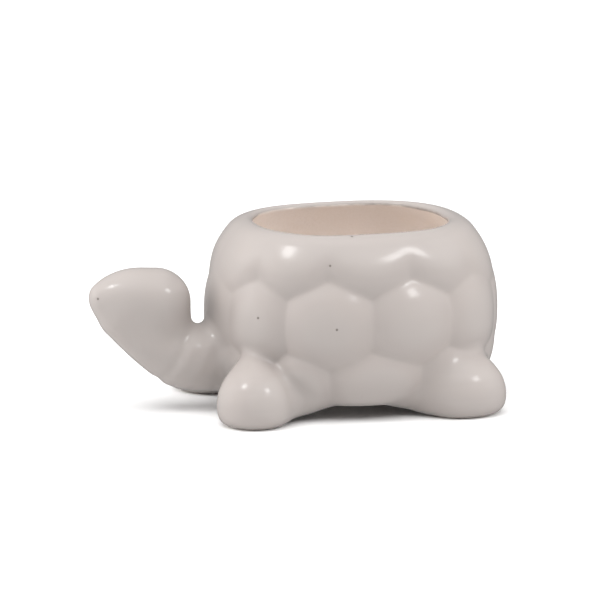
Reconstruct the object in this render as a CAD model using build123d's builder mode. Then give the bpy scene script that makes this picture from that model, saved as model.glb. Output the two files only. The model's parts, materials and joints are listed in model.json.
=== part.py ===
from build123d import *
import math
import os

os.makedirs("parts", exist_ok=True)

# Tortoise planter in glazed earthenware, millimetres
# The head points along -X and the tail along +X, the left flank faces -Y, and the soles
# stand on Z = 0. The origin is under the middle of the overall length. The shell is an open
# bowl. The head and the legs are castings of their own, each cut to the shell's outside,
# so that it seats on the shell face to face.

# Shell, outside
shell_length = 118.0
shell_width = 102.5
plan_power = 2.3  # 2 is an ellipse, more is squarer
underside_height = 5.0
widest_height = 35.5
rim_height = 74.5
rim_draw_in = 13.5  # how far the wall leans in at the rim
rim_draw_power = 2.8
under_draw_in = 10.0  # how far the wall leans in at the underside
under_draw_power = 2.2
under_round = 3.0

# Shell, inside
wall = 6.5  # measured level, through a wall that leans
floor_thickness = 6.5
floor_round = 8.0
lip_outer_round = 2.5
lip_inner_round = 1.8
drain_diameter = 10.0

# Scutes: three rows of pads with soft valleys between them, alike on both flanks
scute_relief = 2.6  # depth of the valleys
scute_widths = [33.0, 28.0, 36.0, 35.0, 30.0, 50.0]  # middle row, head to tail
row_heights = [69.0, 39.0, 7.0]  # middles of the rows
row_swells = [0.0, 0.0, 0.5]  # how far a row stands out, as a share of the relief
row_reach = 16.0  # half height of a row
valley_sharpness = 7.0
pad_flatness = 1.1
end_relief = 0.45  # share of the relief that is left at the head and the tail end
end_fade = 38.0  # farther round than this from either end the pads have full relief
plain_band = 3.0  # smooth band under the rim
band_fade = 22.0  # below it the pads come up to full relief

# Head and neck, as pairs of points on the upper and the lower line of the side view: how far
# ahead of the shell's front end, and the height. The third size is the half width there.
head_reach = 49.0  # tip of the snout ahead of the shell
neck_root = 16.0  # how deep the neck starts inside the shell's form
head_stations = [
    ((2.0, 34.0), (2.0, 7.0), 13.5),
    ((7.6, 37.5), (17.5, 10.5), 13.6),
    ((8.2, 43.5), (29.0, 20.0), 13.4),
    ((11.6, 52.0), (37.0, 27.4), 13.2),
    ((19.5, 57.6), (42.5, 33.0), 12.0),
    ((30.0, 58.2), (45.5, 37.0), 10.0),
    ((40.5, 54.4), (46.8, 39.0), 8.0),
    ((46.0, 51.2), (48.4, 42.4), 5.4),
]
snout_height = 47.0
snout_flat = 2.2  # half width of the blunt end of the snout

# Legs: the middle of each sole lies in from the shell's end and from its flank
front_sole_from_end = 9.3
front_sole_from_flank = 16.5
rear_sole_from_end = 23.0
rear_sole_from_flank = 14.5
front_leg_half_length = 15.0
rear_leg_half_length = 17.2
leg_half_width = 15.0
front_leg_height = 28.4
rear_leg_height = 32.0
foot_height = 8.0  # up to here a leg stands upright
leg_lean_along = 2.0  # above it the leg leans in by this much along the shell
leg_lean_across = 9.0  # and by this much across it
leg_outline = [
    (0.0, 0.86),  # share of the height, share of the half length and width
    (0.08, 0.97),
    (0.22, 1.0),
    (0.4, 0.95),
    (0.58, 0.81),
    (0.76, 0.59),
    (0.9, 0.36),
    (1.0, 0.16),
]

# Web that runs from a foot along the shell and into it: how far in from the sole's middle
# along the shell and across it, height, radius
web_stations = [
    (0.0, 0.0, 6.4, 6.0),
    (8.0, 0.0, 6.6, 6.0),
    (16.0, 1.5, 7.8, 5.6),
    (24.0, 6.0, 10.2, 4.4),
]

# How finely the surfaces are drawn
around_steps = 180
level_steps = 34
round_steps = 5
oval_steps = 24

# Places worked out from the sizes above
shell_middle = head_reach / 2
shell_front = shell_middle - shell_length / 2
shell_rear = shell_middle + shell_length / 2
floor_height = underside_height + floor_thickness
soles = {
    "front": (shell_front + front_sole_from_end, shell_width / 2 - front_sole_from_flank),
    "rear": (shell_rear - rear_sole_from_end, shell_width / 2 - rear_sole_from_flank),
}
leg_heights = {"front": front_leg_height, "rear": rear_leg_height}
leg_half_lengths = {"front": front_leg_half_length, "rear": rear_leg_half_length}
angles = [math.pi + 2 * math.pi * step / around_steps for step in range(around_steps)]


def plan_radius(angle):
    """Distance from the shell's axis to its widest outline."""
    along = abs(math.cos(angle)) / (shell_length / 2)
    across = abs(math.sin(angle)) / (shell_width / 2)
    return (along**plan_power + across**plan_power) ** (-1 / plan_power)


def draw_in(height):
    """How far the wall leans in from its widest outline at this height."""
    above = max(height - widest_height, 0.0) / (rim_height - widest_height)
    below = max(widest_height - height, 0.0) / (widest_height - underside_height)
    return rim_draw_in * above**rim_draw_power + under_draw_in * below**under_draw_power


def girth_steps():
    """Distance round the shell from the head end to each angle, by the nearer flank."""
    places = [(plan_radius(a) * math.cos(a), plan_radius(a) * math.sin(a)) for a in angles]
    gone = [0.0]
    for place, following in zip(places, places[1:] + places[:1]):
        gone.append(gone[-1] + math.dist(place, following))
    return [min(arc, gone[-1] - arc) for arc in gone[:-1]], gone[-1] / 2


arcs, half_girth = girth_steps()


def scute_places():
    """Each pad's middle along the girth, its height, its half width and its swell."""
    drawn = sum(scute_widths) - (scute_widths[0] + scute_widths[-1]) / 2
    widths = [width * half_girth / drawn for width in scute_widths]
    edges = [sum(widths[:count]) - widths[0] / 2 for count in range(len(widths) + 1)]
    middles = [(start + end) / 2 for start, end in zip(edges, edges[1:])]
    straddling = [end - start for start, end in zip(middles, middles[1:])]
    rows = [(edges[1:-1], straddling), (middles, widths), (edges[1:-1], straddling)]
    places = []
    for (centres, spans), height, swell in zip(rows, row_heights, row_swells):
        for centre, span in zip(centres, spans):
            for middle in {centre, -centre, 2 * half_girth - centre}:
                places.append((middle, height, span / 2, swell))
    return places


scutes = scute_places()


def smooth(share):
    """0 up to 0, 1 from 1 on, and a smooth rise between them."""
    share = min(max(share, 0.0), 1.0)
    return share**2 * (3 - 2 * share)


def relief(arc, height):
    """How far the surface lies behind the pads' level, as a soft union of domes."""
    domes = 0.0
    for middle, level, half_span, swell in scutes:
        squared = ((arc - middle) / half_span) ** 2 + ((height - level) / row_reach) ** 2
        domes += math.exp(valley_sharpness * max(swell - squared**pad_flatness, -9.0))
    depth = max(math.log(domes) / valley_sharpness, -1.3)
    from_end = min(arc, half_girth - arc)
    around = end_relief + (1 - end_relief) * smooth(from_end / end_fade)
    upward = smooth((rim_height - plain_band - height) / band_fade)
    return scute_relief * depth * around * upward


def ring(height, inset, pads):
    """Points of the shell's outline at one height."""
    points = []
    for angle, arc in zip(angles, arcs):
        radius = plan_radius(angle) - draw_in(height) - inset
        if pads:
            radius += relief(arc, height)
        points.append((shell_middle + radius * math.cos(angle), radius * math.sin(angle)))
    return points


def levels(bottom, bottom_round, top, top_round):
    """Heights from the bottom to the top, each with its inset where the two edges are rounded."""
    top_reach = abs(top_round)
    straight = top - top_reach - bottom - bottom_round
    turns = [math.pi / 2 * step / round_steps for step in range(round_steps)]
    below = []
    above = []
    for turn in turns:
        rest = 1 - math.cos(turn)
        below.append((bottom + bottom_round * rest, bottom_round * (1 - math.sin(turn))))
        above.append((top - top_reach * rest, top_round * (1 - math.sin(turn))))
    between = [
        (bottom + bottom_round + straight * step / level_steps, 0.0)
        for step in range(level_steps + 1)
    ]
    return below + between + above[::-1]


def closed_curve(points):
    """Smooth closed curve whose points all lie at even steps of its parameter."""
    steps = [index / len(points) for index in range(len(points) + 1)]
    return Edge.make_spline(points, periodic=True, parameters=steps)


def oval(half_width, half_height):
    """Points round an ellipse, at even steps of its angle."""
    turns = [2 * math.pi * step / oval_steps for step in range(oval_steps)]
    return [(half_width * math.cos(turn), half_height * math.sin(turn)) for turn in turns]


# Shell as a solid form: it gives the bowl its outside and the other castings their seats
with BuildPart() as shell_form:
    for height, inset in levels(underside_height, under_round, rim_height, lip_outer_round):
        with BuildSketch(Plane.XY.offset(height)):
            with BuildLine():
                add(closed_curve(ring(height, inset, pads=True)))
            make_face()
    loft()

# Hollow of the shell: it flares out at the lip, so its round there is below zero
with BuildPart() as shell_hollow:
    for height, inset in levels(floor_height, floor_round, rim_height, -lip_inner_round):
        with BuildSketch(Plane.XY.offset(height)):
            with BuildLine():
                add(closed_curve(ring(height, wall + inset, pads=False)))
            make_face()
    loft()

with BuildPart() as shell_bowl:
    add(shell_form.part)
    add(shell_hollow.part, mode=Mode.SUBTRACT)
    with Locations((shell_middle, 0, floor_height)):
        Hole(drain_diameter / 2, depth=floor_thickness)
shell_bowl.part.label = "shell_bowl"
export_step(shell_bowl.part, "parts/shell_bowl.step")

# Head and neck: a rounded section stands between each pair of points of the side view
with BuildPart() as head_and_neck:
    neck_top, neck_bottom = head_stations[0][0][1], head_stations[0][1][1]
    root = [
        ((-depth, neck_top), (-depth, neck_bottom), head_stations[0][2])
        for depth in (neck_root, neck_root / 2)
    ]
    tip = (
        (head_reach, snout_height + snout_flat),
        (head_reach, snout_height - snout_flat),
        snout_flat,
    )
    for upper, lower, half_width in [*root, *head_stations, tip]:
        high = Vector(shell_front - upper[0], 0, upper[1])
        low = Vector(shell_front - lower[0], 0, lower[1])
        across = Vector(0, 1, 0)
        station = Plane((high + low) / 2, x_dir=across, z_dir=across.cross(high - low))
        with BuildSketch(station):
            with BuildLine():
                add(closed_curve(oval(half_width, (high - low).length / 2)))
            make_face()
    loft()
    add(shell_form.part, mode=Mode.SUBTRACT)
head_and_neck.part.label = "head_and_neck"
export_step(head_and_neck.part, "parts/head_and_neck.step")

# Legs: ellipses stacked from the sole up, leaning in under the shell, each with a web of
# circles that thins out along the shell
for end, inward in (("front", 1), ("rear", -1)):
    for side, outward in (("left", -1), ("right", 1)):
        sole_x, sole_y = soles[end]
        with BuildPart() as leg:
            for rise, girth in leg_outline:
                height = leg_heights[end] * rise
                lean = max(height - foot_height, 0.0) / (leg_heights[end] - foot_height)
                middle_x = sole_x + inward * leg_lean_along * lean
                middle_y = outward * (sole_y - leg_lean_across * lean)
                with BuildSketch(Plane((middle_x, middle_y, height))):
                    Ellipse(leg_half_lengths[end] * girth, leg_half_width * girth)
            loft()
            for along, across, height, radius in web_stations:
                with BuildSketch(Plane.YZ.offset(sole_x + inward * along)):
                    with Locations((outward * (sole_y - across), height)):
                        Circle(radius)
            loft()
            add(shell_form.part, mode=Mode.SUBTRACT)
        leg.part.label = f"{end}_{side}_leg"
        export_step(leg.part, f"parts/{end}_{side}_leg.step")
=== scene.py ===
import functools
import json
import math

import bpy
import numpy as np
import openvdb
from bpy.props import FloatProperty, FloatVectorProperty, PointerProperty
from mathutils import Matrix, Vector


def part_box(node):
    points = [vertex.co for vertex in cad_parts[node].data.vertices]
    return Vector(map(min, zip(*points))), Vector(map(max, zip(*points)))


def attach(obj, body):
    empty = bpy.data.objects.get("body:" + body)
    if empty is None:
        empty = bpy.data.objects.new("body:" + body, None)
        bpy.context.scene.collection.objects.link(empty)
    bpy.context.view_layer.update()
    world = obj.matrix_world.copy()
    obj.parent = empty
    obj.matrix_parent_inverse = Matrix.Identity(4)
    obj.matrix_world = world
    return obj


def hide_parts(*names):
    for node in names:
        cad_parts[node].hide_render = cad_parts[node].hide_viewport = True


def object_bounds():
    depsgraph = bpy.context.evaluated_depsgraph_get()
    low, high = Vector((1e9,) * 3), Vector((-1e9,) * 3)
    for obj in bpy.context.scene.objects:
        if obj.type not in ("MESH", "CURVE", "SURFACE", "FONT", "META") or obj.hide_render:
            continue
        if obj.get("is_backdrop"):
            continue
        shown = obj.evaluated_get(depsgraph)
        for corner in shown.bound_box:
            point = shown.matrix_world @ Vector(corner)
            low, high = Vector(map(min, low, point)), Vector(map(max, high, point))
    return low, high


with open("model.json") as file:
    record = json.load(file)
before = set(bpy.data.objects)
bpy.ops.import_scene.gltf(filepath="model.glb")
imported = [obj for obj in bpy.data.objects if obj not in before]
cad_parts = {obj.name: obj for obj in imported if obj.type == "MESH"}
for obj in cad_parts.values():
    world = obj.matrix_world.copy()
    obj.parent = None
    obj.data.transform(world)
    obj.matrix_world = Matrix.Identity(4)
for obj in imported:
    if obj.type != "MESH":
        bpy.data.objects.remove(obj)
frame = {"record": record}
CAD_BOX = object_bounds()

bl_info = {
    "name": "Tortoise planter",
    "version": (1, 0, 0),
    "blender": (4, 5, 0),
    "location": "View3D > Sidebar > Planter",
    "description": "Builds a glazed earthenware planter in the shape of a tortoise",
    "category": "Object",
}

MM = 0.001
BODY = "root"
LEGS = ("front_left_leg", "front_right_leg", "rear_left_leg", "rear_right_leg")
PIECES = ("shell_bowl", "head_and_neck", *LEGS)

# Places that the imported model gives
MOUNTS = {mount["name"]: mount for mount in frame["record"]["mounts"]}
SHELL_LOW, SHELL_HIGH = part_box("shell_bowl")
SHELL_MIDDLE = MOUNTS["drain_hole"]["pos_m"][0]
SHELL_FRONT = SHELL_LOW.x
DRAIN_RADIUS = MOUNTS["drain_hole"]["dims"]["r_mm"] * MM
FLOOR_THICKNESS = MOUNTS["drain_hole"]["dims"]["length_mm"] * MM
SOLES = {leg: MOUNTS[leg.replace("leg", "sole")]["pos_m"] for leg in LEGS}

# Widths of the scutes in the middle row, from the head to the tail on one flank
SCUTE_WIDTHS = [33 * MM, 28 * MM, 36 * MM, 35 * MM, 30 * MM, 50 * MM]

# Rows of scutes from the top: height of their middles, half height, how far they stand out as a
# share of the relief, and how far they spread as a share of their widths
SCUTE_ROWS = [
    (69 * MM, 16 * MM, 0.0, 1.2),
    (39 * MM, 16 * MM, 0.0, 1.0),
    (13 * MM, 12.5 * MM, 0.25, 1.0),
]

# How far the edges of the lowest row lie behind the middles of the scutes above them
LOW_SHIFTS = [0.0, 7 * MM, 0.0, 6 * MM, 0.0, 0.0]

# Balls that the skull and the neck are rounded over: ahead of the shell, height, radius
SKULL = [
    (42.1 * MM, 47.3 * MM, 6.9 * MM),
    (37.0 * MM, 47.6 * MM, 9.4 * MM),
    (30.5 * MM, 47.0 * MM, 11.6 * MM),
    (21.9 * MM, 45.4 * MM, 12.8 * MM),
]
NECK = [
    (35.5 * MM, 39.0 * MM, 9.0 * MM),
    (26.6 * MM, 31.5 * MM, 10.2 * MM),
    (18.4 * MM, 25.4 * MM, 11.2 * MM),
    (9.5 * MM, 21.6 * MM, 13.4 * MM),
    (0.0 * MM, 21.0 * MM, 13.7 * MM),
    (-11.0 * MM, 21.0 * MM, 13.7 * MM),
]

# Balls that fill the bend between the skull and the neck
NAPE = [
    (18.0 * MM, 44.0 * MM, 8.2 * MM),
    (17.2 * MM, 39.5 * MM, 8.2 * MM),
    (15.0 * MM, 33.0 * MM, 8.2 * MM),
]

# Ball that holds the whole head and neck: ahead of the shell, height, radius
HEAD_BALL = (14 * MM, 32 * MM, 45 * MM)

# Balls that a leg is rounded over: share of the rise above the foot, radius. The legs at the two
# ends differ in their height and in their length against their width.
LEG = [
    (-0.19, 14.6 * MM),
    (0.0, 14.8 * MM),
    (0.31, 11.8 * MM),
    (0.62, 8.2 * MM),
    (0.87, 5.0 * MM),
    (1.0, 3.4 * MM),
]
LEG_TOPS = {"front": 25 * MM, "rear": 28.5 * MM}
LEG_STRETCH = {"front": 1.0, "rear": 1.16}

# Balls of the web that runs from a foot along the shell: in along it, in across it, height, radius
WEB = [
    (0.0 * MM, 0.0 * MM, 7.0 * MM, 7.0 * MM),
    (6.0 * MM, 0.0 * MM, 7.2 * MM, 7.4 * MM),
    (13.0 * MM, 0.5 * MM, 6.8 * MM, 5.6 * MM),
    (21.0 * MM, 3.5 * MM, 8.4 * MM, 4.6 * MM),
    (27.0 * MM, 7.5 * MM, 10.4 * MM, 4.0 * MM),
]

# Radius of a ball round the sole that holds the whole leg with its web
LEG_REACH = 38 * MM

# Dark pinholes in the glaze: place and radius, and the share of the radius that is fully dark
PINHOLES = [
    (14.6 * MM, -35.8 * MM, 73.9 * MM, 0.8 * MM),
    (-23.2 * MM, -33.0 * MM, 42.6 * MM, 0.7 * MM),
    (4.6 * MM, -48.9 * MM, 39.4 * MM, 0.7 * MM),
    (3.9 * MM, -41.7 * MM, 63.8 * MM, 0.6 * MM),
    (-81.2 * MM, -5.1 * MM, 48.1 * MM, 0.7 * MM),
]
PINHOLE_CORE = 0.4

# Folds round the neck: where they lie, their depth and their half width
FOLDS = [
    (16.8 * MM, 0.6 * MM, 2.6 * MM),
    (9.5 * MM, 0.3 * MM, 3.0 * MM),
    (2.5 * MM, 0.35 * MM, 3.0 * MM),
]

# Noise patterns of the finishes: scale, detail and roughness
PATTERNS = {
    "wander": (90.0, 2.0, 0.5),
    "clouds": (28.0, 3.0, 0.5),
    "mottle": (160.0, 4.0, 0.6),
    "grain": (900.0, 2.0, 0.5),
    "stain": (34.0, 4.0, 0.6),
    "waves": (55.0, 1.0, 0.5),
    "floor": (40.0, 3.0, 0.5),
}

# Studio lights: name, way from the planter, side, watts, and whether the glaze mirrors them
LIGHTS = [
    ("left_window", (-0.555, -0.222, 0.80), 0.25, 2.0, True),
    ("right_window", (0.45, -0.625, 0.64), 0.25, 1.6, True),
    ("left_panel", (-0.95, 0.35, 0.4), 0.8, 10.5, False),
    ("right_panel", (0.9, -0.25, 0.5), 0.8, 7.4, False),
]
CEILING_WAY = (-0.12, -0.25, 1.0)


def length(name, description, default):
    """A property that holds a length in metres."""
    return FloatProperty(
        name=name, description=description, default=default, unit="LENGTH", precision=4
    )


def plain(name, description, default):
    """A property that holds a bare number."""
    return FloatProperty(name=name, description=description, default=default)


def turn(name, description, degrees):
    """A property that holds an angle."""
    return FloatProperty(
        name=name, description=description, default=math.radians(degrees), subtype="ANGLE"
    )


def colour(name, description, default):
    """A property that holds a linear colour."""
    return FloatVectorProperty(
        name=name, description=description, default=default, size=3, subtype="COLOR", min=0, max=1
    )


class ShellSettings(bpy.types.PropertyGroup):
    """Sizes of the shell"""

    half_length: length("Half length", "Middle to end, outside", (SHELL_HIGH.x - SHELL_LOW.x) / 2)
    half_width: length("Half width", "Middle to flank, outside", (SHELL_HIGH.y - SHELL_LOW.y) / 2)
    plan_power: plain("Plan power", "2 is an ellipse seen from above, more is squarer", 2.3)
    underside: length("Underside", "Height of the underside", SHELL_LOW.z)
    widest: length("Widest", "Height of the widest outline", 35.5 * MM)
    rim: length("Rim", "Height of the rim", SHELL_HIGH.z)
    rim_draw: length("Rim draw", "How far the wall leans in at the rim", 13.5 * MM)
    rim_power: plain("Rim power", "How late the wall leans in towards the rim", 2.8)
    under_draw: length("Under draw", "How far the wall leans in at the underside", 10 * MM)
    under_power: plain("Under power", "How late the wall leans in towards the underside", 2.2)
    under_round: length("Under round", "Softness of the edge of the underside", 5 * MM)
    wall: length("Wall", "Thickness of the wall, measured level", 6.5 * MM)
    end_lip: length("End lip", "How much thicker the lip is at the two ends", 2.5 * MM)
    lip_depth: length("Lip depth", "How far down the lip is thicker at the two ends", 12 * MM)
    lip_round: length("Lip round", "Softness of the lip", 4 * MM)
    mouth_edge: length("Mouth edge", "Softness of the lip's inner edge", 2.5 * MM)
    floor_round: length("Floor round", "Softness of the inner corner of the floor", 8 * MM)
    drain_edge: length("Drain edge", "Softness of the edge of the drain hole", 1.5 * MM)
    relief: length("Relief", "Depth of the valleys between the scutes", 3.2 * MM)
    softness: plain("Softness", "More draws the valleys tighter", 7.0)
    flatness: plain("Flatness", "More makes the scutes flatter on top", 1.1)
    valley_floor: plain("Valley floor", "Greatest depth as a share of the relief", 1.55)
    end_relief: plain("End relief", "Share of the relief that is left at the two ends", 0.1)
    head_fade: length("Head fade", "Distance from the head end to full relief", 35 * MM)
    tail_fade: length("Tail fade", "Distance from the tail end to full relief", 75 * MM)
    plain_band: length("Plain band", "Smooth band under the rim", 2 * MM)
    band_fade: length("Band fade", "Below the band the scutes come up to full relief", 15 * MM)


class CastingSettings(bpy.types.PropertyGroup):
    """Sizes of the head, the neck and the legs"""

    seam: length("Seam", "Softness of the luted joints with the shell", 4 * MM)
    low_seam: length("Low seam", "Softness of the same joints near the floor", 9 * MM)
    seam_level: length("Seam level", "Height where the joints have drawn tight", 20 * MM)
    jaw: length("Jaw", "Softness between the skull and the neck", 7 * MM)
    nape: length("Nape", "Softness between the neck and the nape", 4 * MM)
    fold_lean: plain("Fold lean", "How far the folds lean back with the height", 0.55)
    fold_level: length("Fold level", "Height where the folds are placed", 21 * MM)
    web: length("Web", "Softness between a leg and its web", 5 * MM)
    foot_level: length("Foot level", "Height where a foot narrows into the leg", 9 * MM)
    lean_along: length("Lean along", "How far a leg leans in along the shell", 2 * MM)
    lean_across: length("Lean across", "How far a leg leans in across the shell", 9 * MM)
    sole_round: length("Sole round", "Softness of the edge of a sole", 4.5 * MM)
    voxel: length("Voxel", "Side of the cells that the skin is drawn from", 1 * MM)


class GlazeSettings(bpy.types.PropertyGroup):
    """Colours, edges and gloss of the glaze and the clay"""

    glaze: colour("Glaze", "Off-white glaze", (0.41, 0.373, 0.354))
    # Painted valley shade: glaze colour painted darker in the valleys as shade; the random mottle
    # also uses this colour
    valley_shade: colour("Valley shade", "Glaze painted darker as shade in the valleys", (0.398, 0.359, 0.34))
    thin: colour("Thin glaze", "Glaze where the clay shows through a little", (0.42, 0.374, 0.348))
    speck: colour("Speck", "Dark pinholes in the glaze", (0.09, 0.07, 0.06))
    clay: colour("Clay", "Bare clay inside the bowl", (0.86, 0.79, 0.745))
    clay_dark: colour("Dark clay", "Stains on the bare clay", (0.8, 0.715, 0.645))
    # Depths of a valley where the painted valley shade begins and where it is full
    shade_start: length("Shade start", "Depth of a valley where the painted shade begins", 0.1 * MM)
    shade_full: length("Shade full", "Depth of a valley where glaze is fully pooled", 1.6 * MM)
    glaze_edge: length("Glaze edge", "How far the glaze runs down inside the lip", 1.6 * MM)
    edge_blur: length("Edge blur", "Half width of the soft edge of the glaze", 0.4 * MM)
    edge_wander: length("Edge wander", "How far that edge wanders up and down", 1.6 * MM)
    end_run: length("End run", "How much farther the glaze runs at the two ends", 1.2 * MM)
    end_start: length("End start", "Distance from the middle where the ends begin", 24 * MM)
    end_full: length("End full", "Distance from the middle where the run is full", 42 * MM)
    foot_wipe: length("Foot wipe", "Height to which the soles are wiped bare", 0.9 * MM)
    wipe_blur: length("Wipe blur", "Width of the soft edge of the wiped soles", 0.2 * MM)
    wipe_wander: length("Wipe wander", "How far that edge wanders up and down", 0.8 * MM)
    gloss: plain("Gloss", "Roughness of the glaze", 0.2)
    matt: plain("Matt", "How much rougher the bare clay is", 0.62)


class StageSettings(bpy.types.PropertyGroup):
    """Camera, floor and lights"""

    azimuth: turn("Azimuth", "Turn of the camera", -16.13)
    elevation: turn("Elevation", "Camera above the horizon", 11.7)
    distance: length("Distance", "Camera to the middle of the picture", 3.0)
    span: length("Span", "Width of the picture at the object", 0.24)
    target_x: length("Target X", "Middle of the picture along the object", 3.6 * MM)
    target_z: length("Target Z", "Middle of the picture above the floor", 41.8 * MM)
    floor: colour("Floor", "Pale floor", (0.9, 0.9, 0.9))
    floor_reach: length("Floor reach", "Middle of the floor to its edges", 3.0)
    light_distance: length("Light distance", "Studio lights to the planter", 1.2)
    ceiling: plain("Ceiling", "Strength of the light from the ceiling", 2.85)
    ceiling_spread: turn("Ceiling spread", "How wide the ceiling's light is", 70)
    sky: plain("Sky", "Strength of the light from all round", 0.24)


# The forms that follow are signed distances in metres, below zero inside

# How near to the ball round a form the form itself is worked out
NEARBY = 15 * MM

# True distance to the leaning wall as a share of the level distance, outside and in the hollow
OUTSIDE_LEAN = 0.8
HOLLOW_LEAN = 0.85

# A dome of the relief with a lesser exponent than this counts as flat
FAINTEST = -9

# How fast the thicker lip falls off from the two ends towards the flanks
END_FALL = 2.5


def soft_union(first, second, softness):
    """Both shapes, with a soft valley where they meet."""
    overlap = np.maximum(softness - np.abs(first - second), 0) / softness
    return np.minimum(first, second) - overlap * overlap * softness / 4


def soft_common(first, second, softness):
    """What both shapes share, with a soft edge where they meet."""
    return -soft_union(-first, -second, softness)


def limb(points, start, end, start_radius, end_radius):
    """Two balls and the cone that wraps them."""
    start, end = np.array(start), np.array(end)
    along = end - start
    span = np.linalg.norm(along)
    axis = along / span
    lean = (start_radius - end_radius) / span
    upright = math.sqrt(1 - lean * lean)
    offset = points - start
    height = offset @ axis
    aside = np.linalg.norm(offset - height[:, None] * axis, axis=1)
    touch = height * upright - aside * lean
    cone = aside * upright + height * lean - start_radius
    near_start = np.hypot(aside, height) - start_radius
    near_end = np.hypot(aside, height - span) - end_radius
    return np.where(touch < 0, near_start, np.where(touch > span * upright, near_end, cone))


def chain(points, stations, between=5):
    """Balls strung along a smooth curve through the stations, and the cones that wrap them."""
    knots = np.array(stations)
    ends = [2 * knots[0] - knots[1], *knots, 2 * knots[-1] - knots[-2]]
    fine = []
    for before, start, end, after in zip(ends, ends[1:], ends[2:], ends[3:]):
        for share in np.arange(between) / between:
            bend = 3 * (start - end) + after - before
            swing = 2 * before - 5 * start + 4 * end - after
            fine.append(start + share * (end - before + share * (swing + share * bend)) / 2)
    fine.append(knots[-1])
    tubes = (limb(points, a[:3], b[:3], a[3], b[3]) for a, b in zip(fine, fine[1:]))
    return functools.reduce(np.minimum, tubes)


def only_near(points, middle, reach, form):
    """A form inside a ball, worked out near that ball only and taken as the ball farther off."""
    distance = np.linalg.norm(points - np.array(middle), axis=1) - reach
    near = distance < NEARBY
    if near.any():
        distance[near] = form(points[near])
    return distance


def plan_radius(angle, size):
    """Distance from the shell's axis to its widest outline."""
    along = np.abs(np.cos(angle)) / size.half_length
    across = np.abs(np.sin(angle)) / size.half_width
    return (along**size.plan_power + across**size.plan_power) ** (-1 / size.plan_power)


def draw_in(height, size):
    """How far the wall leans in from its widest outline."""
    above = np.maximum(height - size.widest, 0) / (size.rim - size.widest)
    below = np.maximum(size.widest - height, 0) / (size.widest - size.underside)
    return size.rim_draw * above**size.rim_power + size.under_draw * below**size.under_power


@functools.lru_cache(maxsize=None)
def girth_table(steps=720):
    """Angles from the head end round one flank, and the distance gone at each."""
    size = bpy.context.scene.planter_shell
    angles = np.linspace(0, math.pi, steps)
    radius = plan_radius(angles, size)
    places = np.stack([radius * np.cos(angles), radius * np.sin(angles)], axis=1)
    gone = np.concatenate([[0], np.cumsum(np.linalg.norm(np.diff(places, axis=0), axis=1))])
    return angles, gone


@functools.lru_cache(maxsize=None)
def scute_places():
    """Each scute's middle along the girth, its height, its half width, half height and swell."""
    half_girth = girth_table()[1][-1]
    drawn = sum(SCUTE_WIDTHS) - (SCUTE_WIDTHS[0] + SCUTE_WIDTHS[-1]) / 2
    widths = [width * half_girth / drawn for width in SCUTE_WIDTHS]
    edges = [sum(widths[:count]) - widths[0] / 2 for count in range(len(widths) + 1)]
    middles = [(start + end) / 2 for start, end in zip(edges, edges[1:])]
    straddling = [end - start for start, end in zip(middles, middles[1:])]
    low_edges = [middle + shift for middle, shift in zip(middles, LOW_SHIFTS)]
    low_middles = [(start + end) / 2 for start, end in zip(low_edges, low_edges[1:])]
    low_widths = [end - start for start, end in zip(low_edges, low_edges[1:])]
    rows = [(edges[1:-1], straddling), (middles, widths), (low_middles, low_widths)]
    places = []
    for (centres, spans), (height, reach, swell, spread) in zip(rows, SCUTE_ROWS):
        for centre, span in zip(centres, spans):
            for middle in sorted({centre, -centre, 2 * half_girth - centre}):
                places.append((middle, height, spread * span / 2, reach, swell))
    return places


def smooth(share):
    """0 up to 0, 1 from 1 on, and a smooth rise between them."""
    share = np.clip(share, 0, 1)
    return share**2 * (3 - 2 * share)


def relief(angle, height, size):
    """How far the surface lies behind the level of the scutes."""
    angles, gone = girth_table()
    arc = np.interp(math.pi - np.abs(angle), angles, gone)
    domes = np.zeros_like(arc)
    for middle, level, half_span, reach, swell in scute_places():
        squared = ((arc - middle) / half_span) ** 2 + ((height - level) / reach) ** 2
        domes += np.exp(size.softness * np.maximum(swell - squared**size.flatness, FAINTEST))
    depth = np.maximum(np.log(domes) / size.softness, -size.valley_floor)
    around = smooth(arc / size.head_fade) * smooth((gone[-1] - arc) / size.tail_fade)
    around = size.end_relief + (1 - size.end_relief) * around
    upward = smooth((size.rim - size.plain_band - height) / size.band_fade)
    return size.relief * depth * around * upward


def shell_outside(points):
    """The shell as a solid form, with its scutes."""
    size = bpy.context.scene.planter_shell
    x, y, height = points[:, 0] - SHELL_MIDDLE, points[:, 1], points[:, 2]
    angle = np.arctan2(y, x)
    radius = plan_radius(angle, size) - draw_in(height, size) + relief(angle, height, size)
    side = (np.hypot(x, y) - radius) * OUTSIDE_LEAN
    side = soft_common(side, height - size.rim, size.lip_round)
    return soft_common(side, size.underside - height, size.under_round)


def shell_hollow(points):
    """The hollow of the bowl, open at the top."""
    size = bpy.context.scene.planter_shell
    x, y, height = points[:, 0] - SHELL_MIDDLE, points[:, 1], points[:, 2]
    level = np.minimum(height, size.rim - size.lip_round / 2)
    angle = np.arctan2(y, x)
    end = smooth(1 - END_FALL * (1 - np.abs(np.cos(angle))))
    lip = size.end_lip * end * smooth((level - size.rim) / size.lip_depth + 1)
    radius = plan_radius(angle, size) - draw_in(level, size) - size.wall - lip
    side = (np.hypot(x, y) - radius) * HOLLOW_LEAN
    return soft_common(side, size.underside + FLOOR_THICKNESS - height, size.floor_round)


def drain(points):
    """The drain hole, a round way through the floor."""
    return np.hypot(points[:, 0] - SHELL_MIDDLE, points[:, 1]) - DRAIN_RADIUS


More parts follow.
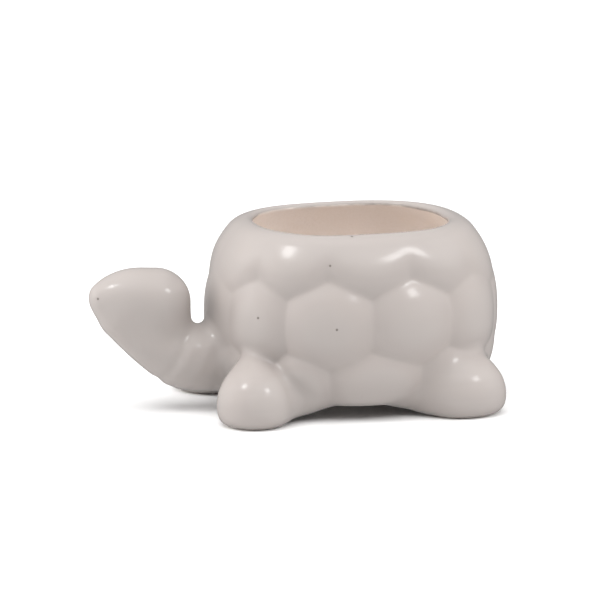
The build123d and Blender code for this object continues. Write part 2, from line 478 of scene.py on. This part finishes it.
def leg(points, name):
    """A stubby leg: a round foot that narrows to a cone and leans in under the shell."""
    size = bpy.context.scene.planter_casting
    sole = np.array(SOLES[name])
    inward = np.sign([SHELL_MIDDLE - sole[0], -sole[1], 1])
    end = name.split("_")[0]
    rise = LEG_TOPS[end] - size.foot_level
    shin = []
    for share, radius in LEG:
        lean = max(share, 0)
        height = size.foot_level + share * rise
        shin.append((lean * size.lean_along, lean * size.lean_across, height, radius))

    def form(near):
        offset = (near - sole) * inward
        whole = chain(offset / (LEG_STRETCH[end], 1, 1), shin)
        whole = soft_union(whole, chain(offset, WEB), size.web)
        return soft_common(whole, -near[:, 2], size.sole_round)

    return only_near(points, sole, LEG_REACH, form)


def head(points):
    """The head, the throat and the neck with its folds."""
    size = bpy.context.scene.planter_casting
    skull, neck, nape = (
        [(SHELL_FRONT - ahead, 0, height, radius) for ahead, height, radius in balls]
        for balls in (SKULL, NECK, NAPE)
    )
    ahead, height, reach = HEAD_BALL

    def form(near):
        throat = chain(near, neck)
        along = SHELL_FRONT - near[:, 0] + size.fold_lean * (near[:, 2] - size.fold_level)
        for place, depth, breadth in FOLDS:
            throat += depth * np.exp(-(((along - place) / breadth) ** 2))
        throat = soft_union(throat, chain(near, nape), size.nape)
        return soft_union(chain(near, skull), throat, size.jaw)

    return only_near(points, (SHELL_FRONT - ahead, 0, height), reach, form)


def forms(points):
    """Distance to each casting by itself, in the order of PIECES."""
    return [shell_outside(points), head(points), *(leg(points, name) for name in LEGS)]


def body(points):
    """Distance to the whole luted and hollowed planter."""
    shell = bpy.context.scene.planter_shell
    casting = bpy.context.scene.planter_casting
    whole, *added = forms(points)
    tight = smooth(points[:, 2] / casting.seam_level)
    seam = casting.low_seam + (casting.seam - casting.low_seam) * tight
    for form in added:
        whole = soft_union(whole, form, seam)
    whole = soft_common(whole, -shell_hollow(points), shell.mouth_edge)
    return soft_common(whole, -drain(points), shell.drain_edge)


def slope(points, step=0.2 * MM):
    """Gradient of the distance to the planter."""
    parts = []
    for axis in np.eye(3) * step:
        parts.append((body(points + axis) - body(points - axis)) / (2 * step))
    return np.stack(parts, axis=1)


@functools.lru_cache(maxsize=None)
def skin(rounds=3):
    """The planter's whole skin, drawn tight in a few rounds: its points, its quads, the outward
    direction at each point and the piece of each quad."""
    voxel = bpy.context.scene.planter_casting.voxel
    margin = 3 * voxel
    low, high = np.array(CAD_BOX[0]) - margin, np.array(CAD_BOX[1]) + margin
    axes = [np.arange(start, end, voxel) for start, end in zip(low, high)]
    y, z = np.meshgrid(axes[1], axes[2], indexing="ij")
    cells = np.zeros([len(axis) for axis in axes])
    for index, x in enumerate(axes[0]):
        slab = np.stack([np.full(y.size, x), y.ravel(), z.ravel()], axis=1)
        cells[index] = body(slab).reshape(y.shape)
    grid = openvdb.FloatGrid()
    grid.copyFromArray(cells / voxel)
    points, quads = grid.convertToQuads(isovalue=0)
    points = low + points.astype(float) * voxel
    for _ in range(rounds):
        steep = slope(points)
        points = points - steep * (body(points) / np.sum(steep * steep, axis=1))[:, None]
    outward = slope(points)
    outward /= np.linalg.norm(outward, axis=1)[:, None]
    middles = points[quads].mean(axis=1)
    owner = np.argmin(np.stack(forms(middles)), axis=0)
    owner[np.abs(shell_hollow(middles)) < voxel] = PIECES.index("shell_bowl")
    return points, quads, outward, owner


def open_rims(quads):
    """Closed loops of the edges that only one quad uses."""
    edges = np.concatenate([quads[:, [side, (side + 1) % 4]] for side in range(4)])
    there = {(int(a), int(b)) for a, b in edges}
    follows = {b: a for a, b in there if (b, a) not in there}
    loops = []
    while follows:
        start, here = follows.popitem()
        loop = [start]
        while here != loop[0]:
            loop.append(here)
            here = follows.pop(here)
        loops.append(loop)
    return loops


def close_seats(places, facing, quads):
    """Adds a middle point to each open rim of a piece, and gives the triangles that close it."""
    fans = []
    for loop in open_rims(quads):
        middle = len(places)
        places.append(np.mean([places[index] for index in loop], axis=0))
        facing.append(np.mean([facing[index] for index in loop], axis=0))
        fans += [(a, b, middle) for a, b in zip(loop, loop[1:] + loop[:1])]
    return fans


def note_finish(mesh, places):
    """Notes at each point if it lies within a millimetre or so of the hollow's wall, and how many
    millimetres deep it lies in a valley."""
    within = np.clip(1.5 - np.abs(shell_hollow(places)) / MM, 0, 1)
    angle = np.arctan2(places[:, 1], places[:, 0] - SHELL_MIDDLE)
    valley = -relief(angle, places[:, 2], bpy.context.scene.planter_shell) / MM
    for name, values in (("within", within), ("valley", valley)):
        mesh.attributes.new(name, "FLOAT", "POINT").data.foreach_set("value", values)


def add_to_scene(name, data):
    """Puts a mesh, a light or a camera into the scene."""
    thing = bpy.data.objects.new(name, data)
    bpy.context.scene.collection.objects.link(thing)
    return thing


def make_piece(name, material):
    """Cuts one casting out of the skin, closes its seats and puts it in the scene."""
    points, quads, outward, owner = skin()
    mine = quads[owner == PIECES.index(name)]
    if len(mine) == 0:
        raise RuntimeError(f"No part of the skin belongs to {name}")
    used, mine = np.unique(mine, return_inverse=True)
    mine = mine.reshape(-1, 4)
    places, facing = list(points[used]), list(outward[used])
    faces = mine.tolist() + close_seats(places, facing, mine)
    mesh = bpy.data.meshes.new(name)
    mesh.from_pydata([tuple(place) for place in places], [], faces)
    mesh.polygons.foreach_set("use_smooth", np.ones(len(faces), dtype=bool))
    note_finish(mesh, np.array(places))
    mesh.normals_split_custom_set_from_vertices([tuple(way) for way in facing])
    mesh.materials.append(material)
    piece = add_to_scene(f"{name}_skin", mesh)
    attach(piece, BODY)
    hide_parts(name)


class Socket:
    """An output of a material's node tree that takes part in Python arithmetic."""

    def __init__(self, tree, output):
        self.tree = tree
        self.output = output

    def __add__(self, other):
        return self.tree.math("ADD", self, other)

    def __radd__(self, other):
        return self.tree.math("ADD", other, self)

    def __sub__(self, other):
        return self.tree.math("SUBTRACT", self, other)

    def __rsub__(self, other):
        return self.tree.math("SUBTRACT", other, self)

    def __mul__(self, other):
        return self.tree.math("MULTIPLY", self, other)

    def __rmul__(self, other):
        return self.tree.math("MULTIPLY", other, self)

    def __abs__(self):
        return self.tree.math("ABSOLUTE", self)

    def step(self, low, high):
        """0 up to low, 1 from high on, and a smooth rise between them."""
        settings = {"interpolation_type": "SMOOTHSTEP"}
        ends = {"Value": self, "From Min": low, "From Max": high}
        return self.tree.node("ShaderNodeMapRange", settings, ends)


class Tree:
    """The node tree of one material."""

    def __init__(self, name):
        self.material = bpy.data.materials.new(name)
        self.material.use_nodes = True
        self.tree = self.material.node_tree
        self.tree.nodes.clear()

    def node(self, kind, settings=None, inputs=None, output=0):
        """A node with its settings, then its sockets' values or links, as one of its outputs."""
        made = self.tree.nodes.new(kind)
        for name, value in (settings or {}).items():
            setattr(made, name, value)
        for name, value in (inputs or {}).items():
            if isinstance(value, Socket):
                self.tree.links.new(value.output, made.inputs[name])
            else:
                made.inputs[name].default_value = value
        return Socket(self, made.outputs[output] if made.outputs else None)

    def math(self, operation, *values):
        """A Math node on these values."""
        return self.node("ShaderNodeMath", {"operation": operation}, dict(enumerate(values)))

    def mix(self, factor, first, second):
        """One colour turning into another."""
        ends = [value if isinstance(value, Socket) else (*value, 1.0) for value in (first, second)]
        settings = {"data_type": "RGBA"}
        return self.node("ShaderNodeMix", settings, {0: factor, 6: ends[0], 7: ends[1]}, output=2)

    def attribute(self, name):
        """A number that is noted at each point of the mesh."""
        return self.node("ShaderNodeAttribute", {"attribute_name": name}, output="Fac")

    def distance(self, place, spot):
        """How far a place is from one spot."""
        settings = {"operation": "DISTANCE"}
        return self.node("ShaderNodeVectorMath", settings, {0: place, 1: spot}, output="Value")

    def noise(self, place, pattern):
        """Soft random values around a half, in one of the patterns of the finishes."""
        scale, detail, roughness = PATTERNS[pattern]
        values = {"Vector": place, "Scale": scale, "Detail": detail, "Roughness": roughness}
        return self.node("ShaderNodeTexNoise", None, values)

    def surface(self, values):
        """Ends the tree in a surface with these values, and gives the material."""
        shader = self.node("ShaderNodeBsdfPrincipled", None, values)
        self.node("ShaderNodeOutputMaterial", None, {"Surface": shader})
        return self.material


@functools.lru_cache(maxsize=None)
def glazed_clay():
    """Off-white glaze over clay, bare inside the bowl and under the soles."""
    finish = bpy.context.scene.planter_glaze
    rim = bpy.context.scene.planter_shell.rim
    tree = Tree("glazed_clay")
    place = tree.node("ShaderNodeTexCoord", output="Object")
    along = tree.node("ShaderNodeSeparateXYZ", None, {0: place}, output="X") - SHELL_MIDDLE
    height = tree.node("ShaderNodeSeparateXYZ", None, {0: place}, output="Z")

    # Where the clay is bare
    wander = tree.noise(place, "wander") - 0.5
    end_run = abs(along).step(finish.end_start, finish.end_full) * finish.end_run
    below_lip = rim - height + wander * finish.edge_wander - end_run
    edge, blur = finish.glaze_edge, finish.edge_blur
    bare_inside = tree.attribute("within").step(0.2, 0.8) * below_lip.step(edge - blur, edge + blur)
    above_sole = height + wander * finish.wipe_wander
    bare_sole = 1 - above_sole.step(finish.foot_wipe - finish.wipe_blur, finish.foot_wipe)
    bare = tree.math("MAXIMUM", bare_inside, bare_sole)

    # Glaze: painted shade in the valleys, thin in clouds, mottled all over and pricked by pinholes
    mottle = tree.noise(place, "mottle")
    # Painted shade: the glaze turns darker where the surface lies deep in a valley
    valley_shade = tree.attribute("valley").step(finish.shade_start / MM, finish.shade_full / MM)
    thin = tree.noise(place, "clouds").step(0.5, 0.8) * 0.5
    mottled = mottle.step(0.35, 0.7) * 0.12
    pinhole = sum(
        1 - tree.distance(place, spot).step(PINHOLE_CORE * radius, radius)
        for *spot, radius in PINHOLES
    )
    coat = tree.mix(valley_shade, finish.glaze, finish.valley_shade)
    coat = tree.mix(thin, coat, finish.thin)
    # Random mottle, darkened towards the colour of the painted valley shade
    coat = tree.mix(mottled, coat, finish.valley_shade)
    coat = tree.mix(pinhole * 0.75, coat, finish.speck)

    # Clay: stained in patches, with a fine grain
    grain = tree.noise(place, "grain")
    stained = tree.noise(place, "stain").step(0.4, 0.72) * 0.6
    grainy = grain.step(0.35, 0.75) * 0.25
    clay = tree.mix(stained, finish.clay, finish.clay_dark)
    clay = tree.mix(grainy, clay, finish.clay_dark)

    # Bumps in millimetres: slow waves in the glaze, grain in the clay, dents at the pinholes
    waves = tree.noise(place, "waves") * 0.22
    bumps = waves * (1 - bare) + grain * 0.12 * bare - pinhole * 0.15
    return tree.surface(
        {
            "Base Color": tree.mix(bare, coat, clay),
            "Roughness": finish.gloss + mottle * 0.06 + bare * finish.matt + pinhole * 0.3,
            "IOR": 1.52,
            "Coat Weight": (1 - bare) * 0.15,
            "Coat Roughness": 0.08,
            "Normal": tree.node(
                "ShaderNodeBump", None, {"Strength": 0.5, "Distance": MM, "Height": bumps}
            ),
        }
    )


def floor_finish():
    """Pale matt floor with a faint grain."""
    pale = bpy.context.scene.planter_stage.floor
    shade = tuple(value * 0.985 for value in pale)
    tree = Tree("pale_floor")
    grain = tree.noise(tree.node("ShaderNodeTexCoord", output="Object"), "floor")
    grained = tree.mix(grain.step(0.3, 0.7), pale, shade)
    return tree.surface({"Base Color": grained, "Roughness": 0.85})


def aim(thing, place, target):
    """Puts a light or a camera at a place and turns it towards a target."""
    thing.location = place
    thing.rotation_euler = (target - place).to_track_quat("-Z", "Y").to_euler()


def make_floor(stage):
    """A pale floor under the planter, which the glaze doesn't mirror."""
    reach = stage.floor_reach
    mesh = bpy.data.meshes.new("floor")
    corners = [(-reach, -reach, 0), (reach, -reach, 0), (reach, reach, 0), (-reach, reach, 0)]
    mesh.from_pydata(corners, [], [(0, 1, 2, 3)])
    mesh.materials.append(floor_finish())
    floor = add_to_scene("floor", mesh)
    floor.visible_glossy = False
    floor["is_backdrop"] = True


def make_lights(stage, target):
    """Two windows that the glaze mirrors, two soft panels, a soft ceiling and an even sky."""
    for name, way, side, power, mirrored in LIGHTS:
        light = bpy.data.lights.new(name, "AREA")
        light.size = side
        light.energy = power
        lamp = add_to_scene(name, light)
        lamp.visible_glossy = mirrored
        aim(lamp, target + Vector(way).normalized() * stage.light_distance, target)
    light = bpy.data.lights.new("ceiling", "SUN")
    light.energy = stage.ceiling
    light.angle = stage.ceiling_spread
    lamp = add_to_scene("ceiling", light)
    lamp.visible_glossy = False
    aim(lamp, target + Vector(CEILING_WAY), target)

    scene = bpy.context.scene
    scene.world = scene.world or bpy.data.worlds.new("studio")
    scene.world.use_nodes = True
    sky = scene.world.node_tree.nodes["Background"]
    sky.inputs["Color"].default_value = (1.0, 1.0, 1.0, 1.0)
    sky.inputs["Strength"].default_value = stage.sky
    scene.view_settings.view_transform = "Standard"


def make_camera(stage, target):
    """The camera, at the photograph's angle."""
    optics = bpy.data.cameras.new("camera")
    optics.sensor_width = 36.0
    optics.lens = optics.sensor_width * stage.distance / stage.span
    optics.clip_end = 20.0
    camera = add_to_scene("camera", optics)
    flat = math.cos(stage.elevation)
    along, across = math.sin(stage.azimuth) * flat, -math.cos(stage.azimuth) * flat
    back = Vector((along, across, math.sin(stage.elevation)))
    aim(camera, target + back * stage.distance, target)
    bpy.context.scene.camera = camera


class PLANTER_OT_shell(bpy.types.Operator):
    """Make the shell, the bowl that holds the plant"""

    bl_idname = "planter.shell"
    bl_label = "Shell bowl"

    def execute(self, context):
        make_piece("shell_bowl", glazed_clay())
        return {"FINISHED"}


class PLANTER_OT_head(bpy.types.Operator):
    """Make the head with its neck"""

    bl_idname = "planter.head"
    bl_label = "Head and neck"

    def execute(self, context):
        make_piece("head_and_neck", glazed_clay())
        return {"FINISHED"}


class PLANTER_OT_legs(bpy.types.Operator):
    """Make the legs"""

    bl_idname = "planter.legs"
    bl_label = "Legs"

    def execute(self, context):
        for name in LEGS:
            make_piece(name, glazed_clay())
        return {"FINISHED"}


class PLANTER_OT_stage(bpy.types.Operator):
    """Make the floor, the lights and the camera"""

    bl_idname = "planter.stage"
    bl_label = "Stage"

    def execute(self, context):
        stage = context.scene.planter_stage
        target = Vector((stage.target_x, 0, stage.target_z))
        make_floor(stage)
        make_lights(stage, target)
        make_camera(stage, target)
        return {"FINISHED"}


OPERATORS = (PLANTER_OT_shell, PLANTER_OT_head, PLANTER_OT_legs, PLANTER_OT_stage)
SETTINGS = {
    "planter_shell": ShellSettings,
    "planter_casting": CastingSettings,
    "planter_glaze": GlazeSettings,
    "planter_stage": StageSettings,
}


class PLANTER_PT_sidebar(bpy.types.Panel):
    """Buttons and sizes of the planter"""

    bl_idname = "PLANTER_PT_sidebar"
    bl_label = "Tortoise planter"
    bl_space_type = "VIEW_3D"
    bl_region_type = "UI"
    bl_category = "Planter"

    def draw(self, context):
        for operator in OPERATORS:
            self.layout.operator(operator.bl_idname)
        for name, group in SETTINGS.items():
            box = self.layout.box()
            for field in group.__annotations__:
                box.prop(getattr(context.scene, name), field)


def register():
    """Adds the settings, the operators and the panel."""
    for group in SETTINGS.values():
        bpy.utils.register_class(group)
    for name, group in SETTINGS.items():
        setattr(bpy.types.Scene, name, PointerProperty(type=group))
    for operator in OPERATORS:
        bpy.utils.register_class(operator)
    bpy.utils.register_class(PLANTER_PT_sidebar)


def unregister():
    """Takes them away again."""
    bpy.utils.unregister_class(PLANTER_PT_sidebar)
    for operator in reversed(OPERATORS):
        bpy.utils.unregister_class(operator)
    for name, group in SETTINGS.items():
        delattr(bpy.types.Scene, name)
        bpy.utils.unregister_class(group)


def main():
    """Builds every piece and the stage, and works out the sizes of their boxes."""
    register()
    bpy.ops.planter.shell()
    bpy.ops.planter.head()
    bpy.ops.planter.legs()
    bpy.ops.planter.stage()
    boxes = {"cad": CAD_BOX, "visual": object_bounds()}
    sizes = {name: [list(corner) for corner in box] for name, box in boxes.items()}


if __name__ == "__main__":
    main()
